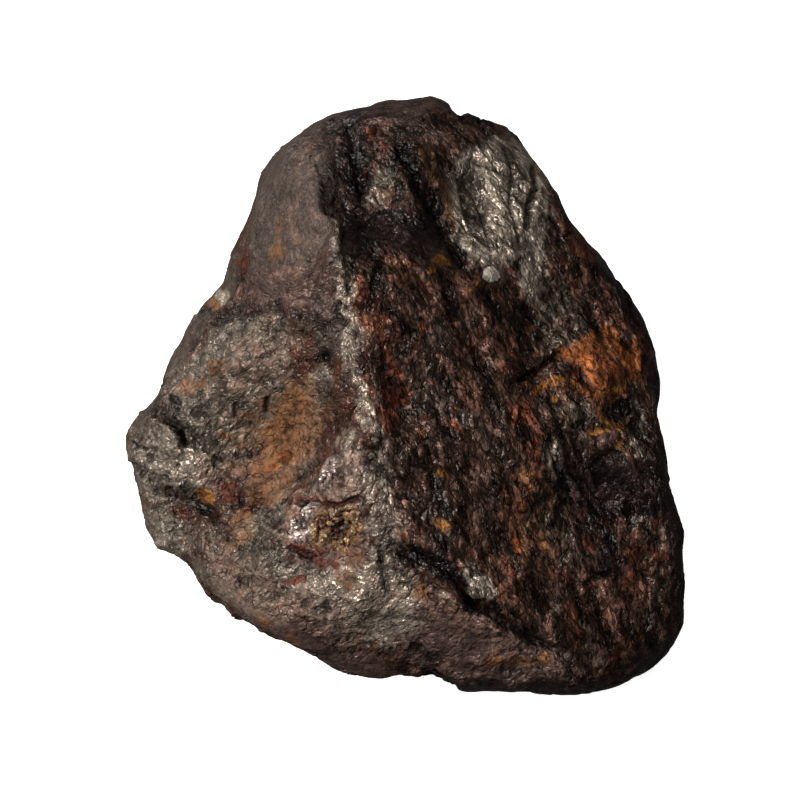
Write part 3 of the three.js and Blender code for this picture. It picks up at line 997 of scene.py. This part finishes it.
def stone_finish():
    """Oxidised iron: brown-black skin, broken coats over it, painted shade in its sunken relief, crumbly all
    over.
    """
    colours = bpy.context.scene.meteorite_colours
    material = bpy.data.materials.new(SLOT)
    material.use_nodes = True
    tree = material.node_tree
    shader = tree.nodes["Principled BSDF"]
    place = scaled(tree, tree.nodes.new("ShaderNodeTexCoord").outputs["Object"], 1.0 / MM)
    side = painted_share(tree, "right_grain")
    worn = painted_share(tree, "smooth")
    loose = warped(tree, place, GRAIN_WARP, GRAIN_WANDER)
    calm = eased(tree, worn, *CALM_RANGE)
    along, far_along = (
        mix(tree, "VECTOR", calm, grain_place(tree, loose, side, stretch), loose)
        for stretch in (CHIP_STRETCH, PLATE_STRETCH)
    )

    chip, chip_chance, _ = facets(tree, along, CHIPS)
    plate, plate_chance, _ = facets(tree, far_along, PLATES)
    _, pit_chance, pit_gap = facets(tree, loose, PITS)
    hole = eased(tree, pit_gap, *PIT_HOLE, 1.0, 0.0)
    pit = product(tree, hole, eased(tree, pit_chance, *PIT_CHANCE), calm)
    fold = crinkle(tree, along, FOLDS)
    open_crack = eased(tree, cloud(tree, place, *CRACK_CLOUDS), *CRACK_RANGE)
    crack = mixed(tree, open_crack, 1.0, cracks_between(tree, far_along, CRACK_LINES, CRACK_WIDTH))

    shade, roughness, metallic, even = coated(tree, place, skin_colour(tree, place, along, colours), colours)
    crevice = eased(tree, painted_share(tree, CREVICE_NUMBER), *CREVICE_RANGE)
    shade = tinted(tree, crevice, shade, solid(colours.maroon))

    darks = (FOLD_CREASE_SHADE, POOL_TONE, CRACK_TONE)
    crease_shade, pool_dark, crack_dark = (mixed(tree, side, *dark) for dark in darks)
    # The folds are painted darker in their creases and lighter on their tops: painted shade and painted
    # highlight on the fold relief
    tone = product(
        tree, two_sided(tree, side, chip_chance, CHIP_TONE), two_sided(tree, side, plate_chance, PLATE_TONE),
        eased(tree, fold, *FOLD_RANGE, crease_shade, FOLD_TOP_HIGHLIGHT),
        eased(tree, cloud(tree, far_along, *POOL_CLOUDS), *POOL_RANGE, pool_dark, POOL_LIGHT),
        mixed(tree, crack, crack_dark, 1.0),
    )
    tone = mixed(tree, worn, tone, eased(tree, chip_chance, 0.0, 1.0, *WORN_TONE))
    tone = product(tree, mixed(tree, even, tone, 1.0), mixed(tree, pit, 1.0, PIT_TONE))
    # Painted shade: the colour is darkened where the fine relief sinks, in cracks and between flakes
    hollow = eased(tree, painted_share(tree, RELIEF_NUMBER), *HOLLOW_RANGE, SUNKEN_RELIEF_SHADE, 1.0)
    shade = tinted(tree, 1.0, shade, product(tree, tone, hollow), "MULTIPLY")
    gloss = number(tree, "SUBTRACT", chip_chance, MIDDLE)
    roughness = number(tree, "MULTIPLY_ADD", gloss, CHIP_GLOSS, roughness)

    height = product(tree, chip, mixed(tree, side, *CHIP_HEIGHT))
    height = number(tree, "MULTIPLY_ADD", plate, mixed(tree, side, *PLATE_HEIGHT), height)
    height = number(tree, "MULTIPLY_ADD", fold, mixed(tree, side, *FOLD_HEIGHT), height)
    height = number(tree, "MULTIPLY_ADD", crack, CRACK_DEPTH, height)
    height = product(tree, height, number(tree, "MULTIPLY_ADD", worn, WORN_AWAY, 1.0))
    bumped = add_node(tree, "ShaderNodeBump", {"Height": height, "Strength": 1.0, "Distance": MM})

    tree.links.new(shade, shader.inputs["Base Color"])
    tree.links.new(roughness, shader.inputs["Roughness"])
    tree.links.new(metallic, shader.inputs["Metallic"])
    tree.links.new(bumped.outputs[0], shader.inputs["Normal"])
    shader.inputs["Specular IOR Level"].default_value = SKIN_SPECULAR
    shader.inputs["Specular Tint"].default_value = solid(WARM_GLINT)
    return material


class METEORITE_OT_skin(bpy.types.Operator):
    """Makes the stone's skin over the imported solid, with its relief and its coats"""

    bl_idname = "meteorite.skin"
    bl_label = "Stone Skin"

    def execute(self, context):
        noise.seed_set(NOISE_SEED)
        skin = welded_copy(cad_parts[NODE])
        finer = skin.modifiers.new("finer", "SUBSURF")
        finer.levels = SKIN_LEVELS
        finer.render_levels = SKIN_LEVELS
        make_plain(skin)
        refine(skin.data)
        paint(skin.data)
        run_tree(skin, relief_tree(), context.scene.meteorite_relief, stone_finish())
        if not skin.data.polygons:
            raise RuntimeError("the stone's skin has no faces")
        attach(skin, BODY)
        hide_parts(NODE)
        return {"FINISHED"}


# The stage

# Each softbox's direction from the stone and its width in metres, and how far away they all are
KEY_FROM = Vector((-0.66, -0.46, 0.60)).normalized()
KEY_SIZE = 0.6
TOP_FROM = Vector((0.10, -0.45, 0.88)).normalized()
TOP_SIZE = 0.5
RIM_FROM = Vector((-0.62, 0.66, 0.42)).normalized()
RIM_SIZE = 0.5
SOFTBOX_DISTANCE = 1.2
# How bright the air is, and the floor's width in metres, its finish and its own light
AMBIENT = 0.06
FLOOR_SIZE = 6.0
FLOOR_ROUGHNESS = 0.9
FLOOR_GLOW = 0.93


def floor_finish(shade):
    """Pale floor, lit from below as a light table is."""
    material = bpy.data.materials.new("pale_floor")
    material.use_nodes = True
    shader = material.node_tree.nodes["Principled BSDF"]
    shader.inputs["Base Color"].default_value = solid(shade)
    shader.inputs["Roughness"].default_value = FLOOR_ROUGHNESS
    shader.inputs["Emission Color"].default_value = WHITE
    shader.inputs["Emission Strength"].default_value = FLOOR_GLOW
    return material


def add_floor(shade):
    """A wide flat floor under the stone."""
    half = FLOOR_SIZE / 2
    corners = [(-half, -half, 0), (half, -half, 0), (half, half, 0), (-half, half, 0)]
    mesh = bpy.data.meshes.new("floor")
    mesh.from_pydata(corners, [], [list(range(len(corners)))])
    mesh.materials.append(floor_finish(shade))
    floor = bpy.data.objects.new("floor", mesh)
    bpy.context.scene.collection.objects.link(floor)
    floor.visible_glossy = False
    floor.visible_diffuse = False


def add_softbox(name, toward, size, power):
    """A square soft light that shines at the stone."""
    light = bpy.data.lights.new(name, "AREA")
    light.energy = power
    light.size = size
    lamp = bpy.data.objects.new(name, light)
    lamp.location = AIM + toward * SOFTBOX_DISTANCE
    lamp.rotation_euler = (-toward).to_track_quat("-Z", "Y").to_euler()
    bpy.context.scene.collection.objects.link(lamp)


def add_camera(stage):
    """The camera, at the picture's viewing angle."""
    camera = bpy.data.cameras.new("camera")
    camera.lens = stage.lens
    camera.sensor_width = SENSOR_MM
    holder = bpy.data.objects.new("camera", camera)
    back = camera_axes()[2]
    holder.location = AIM + back * stage.distance
    holder.rotation_euler = (-back).to_track_quat("-Z", "Y").to_euler()
    bpy.context.scene.collection.objects.link(holder)
    bpy.context.scene.camera = holder


class METEORITE_OT_stage(bpy.types.Operator):
    """Makes the floor, the lights and the camera"""

    bl_idname = "meteorite.stage"
    bl_label = "Studio Stage"

    def execute(self, context):
        stage = context.scene.meteorite_stage
        add_floor(stage.floor)
        add_softbox("key_softbox", KEY_FROM, KEY_SIZE, stage.key_power)
        add_softbox("top_softbox", TOP_FROM, TOP_SIZE, stage.top_power)
        add_softbox("rim_softbox", RIM_FROM, RIM_SIZE, stage.rim_power)
        world = bpy.data.worlds.new("studio")
        world.use_nodes = True
        air = world.node_tree.nodes["Background"]
        air.inputs["Color"].default_value = WHITE
        air.inputs["Strength"].default_value = AMBIENT
        context.scene.world = world
        context.scene.view_settings.view_transform = "Standard"
        add_camera(stage)
        return {"FINISHED"}


# The sidebar

# Each step, with the groups of settings that it uses
STEPS = {
    METEORITE_OT_skin: ("meteorite_relief", "meteorite_colours"),
    METEORITE_OT_stage: ("meteorite_stage",),
}


class METEORITE_PT_panel(bpy.types.Panel):
    """Lists the steps and their settings"""

    bl_idname = "METEORITE_PT_panel"
    bl_label = "Meteorite"
    bl_space_type = "VIEW_3D"
    bl_region_type = "UI"
    bl_category = "Meteorite"

    def draw(self, context):
        for operator, groups in STEPS.items():
            box = self.layout.box()
            for group in groups:
                settings = getattr(context.scene, group)
                for name in settings.bl_rna.properties.keys():
                    if name not in ("rna_type", "name"):
                        box.prop(settings, name)
            box.operator(operator.bl_idname)


GROUPS = {
    "meteorite_relief": MeteoriteRelief,
    "meteorite_colours": MeteoriteColours,
    "meteorite_stage": MeteoriteStage,
}
CLASSES = (*GROUPS.values(), METEORITE_OT_skin, METEORITE_OT_stage, METEORITE_PT_panel)


def register():
    """Adds the classes, and their settings on the scene."""
    for made in CLASSES:
        bpy.utils.register_class(made)
    for name, group in GROUPS.items():
        setattr(bpy.types.Scene, name, bpy.props.PointerProperty(type=group))


def unregister():
    """Takes the settings and the classes away again."""
    for name in GROUPS:
        delattr(bpy.types.Scene, name)
    for made in reversed(CLASSES):
        bpy.utils.unregister_class(made)


def main():
    """Builds everything in order."""
    register()
    bpy.ops.meteorite.skin()
    bpy.ops.meteorite.stage()


if __name__ == "__main__":
    main()
